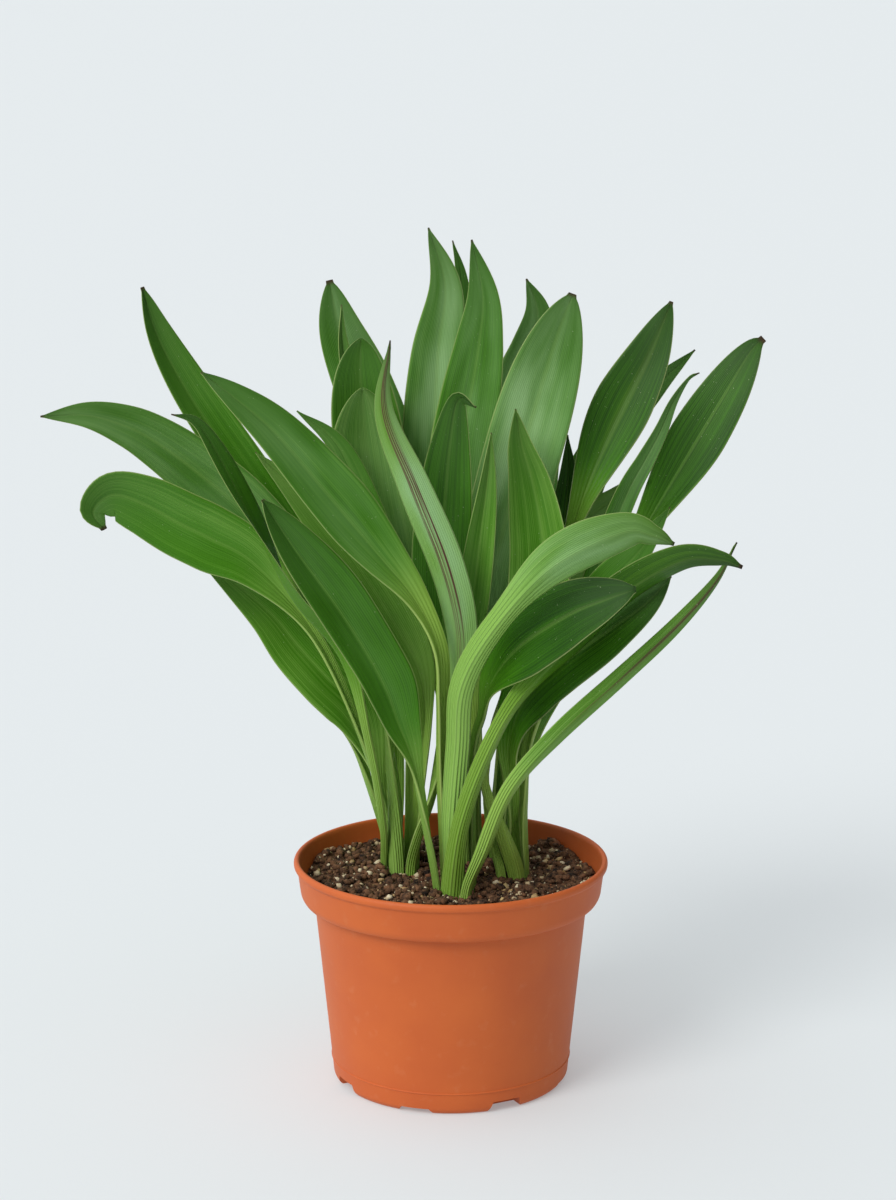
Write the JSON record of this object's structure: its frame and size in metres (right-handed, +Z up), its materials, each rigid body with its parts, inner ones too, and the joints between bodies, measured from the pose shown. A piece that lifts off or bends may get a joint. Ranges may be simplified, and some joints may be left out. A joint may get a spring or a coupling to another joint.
{
  "type": "potted ti plant",
  "caption": "Green ti plant with long strap leaves on channelled stalks, standing in the soil of a round terracotta-coloured nursery pot.",
  "frame": {"origin": "middle of the pot's flat base, on the surface it stands on", "axes": "+Z up out of the pot, -Y towards the front, which is the side in the picture, +X to that view's right"},
  "size_m": [0.3879, 0.254, 0.4574],
  "materials": {
    "leaf": "satin green leaf with fine lengthwise veins, paler grey-green underside and a thin pale margin",
    "pot_plastic": "matt terracotta-coloured moulded plastic",
    "potting_soil": "dark brown crumbly peat with pale perlite grains"
  },
  "bodies": {
    "root": {"leaf_back_left_arching": "leaf", "leaf_back_left_browned": "leaf", "leaf_back_left_folded": "leaf", "leaf_back_left_low": "leaf", "leaf_back_left_round": "leaf", "leaf_back_left_upright": "leaf", "leaf_back_mid_arching": "leaf", "leaf_back_right_arching": "leaf", "leaf_back_right_dark": "leaf", "leaf_back_right_far": "leaf", "leaf_back_right_high": "leaf", "leaf_back_right_narrow": "leaf", "leaf_back_right_upright": "leaf", "leaf_centre_rolled": "leaf", "leaf_front_arching": "leaf", "leaf_front_left": "leaf", "leaf_front_left_high": "leaf", "leaf_front_twisted": "leaf", "leaf_left_broad": "leaf", "leaf_left_crossing": "leaf", "leaf_left_curled": "leaf", "leaf_left_long": "leaf", "leaf_left_low": "leaf", "leaf_left_shaded": "leaf", "leaf_left_small": "leaf", "leaf_left_strap": "leaf", "leaf_left_tall": "leaf", "leaf_mid_right": "leaf", "leaf_mid_tall": "leaf", "leaf_mid_tallest": "leaf", "leaf_mid_thin": "leaf", "leaf_right_blunt": "leaf", "leaf_right_drooping": "leaf", "leaf_right_duckbill": "leaf", "leaf_right_folded": "leaf", "leaf_right_grey": "leaf", "leaf_right_hooked": "leaf", "leaf_right_pale": "leaf", "leaf_right_strap": "leaf", "leaf_right_tall": "leaf", "pot": "pot_plastic", "soil": "potting_soil"}
  },
  "joints": []
}
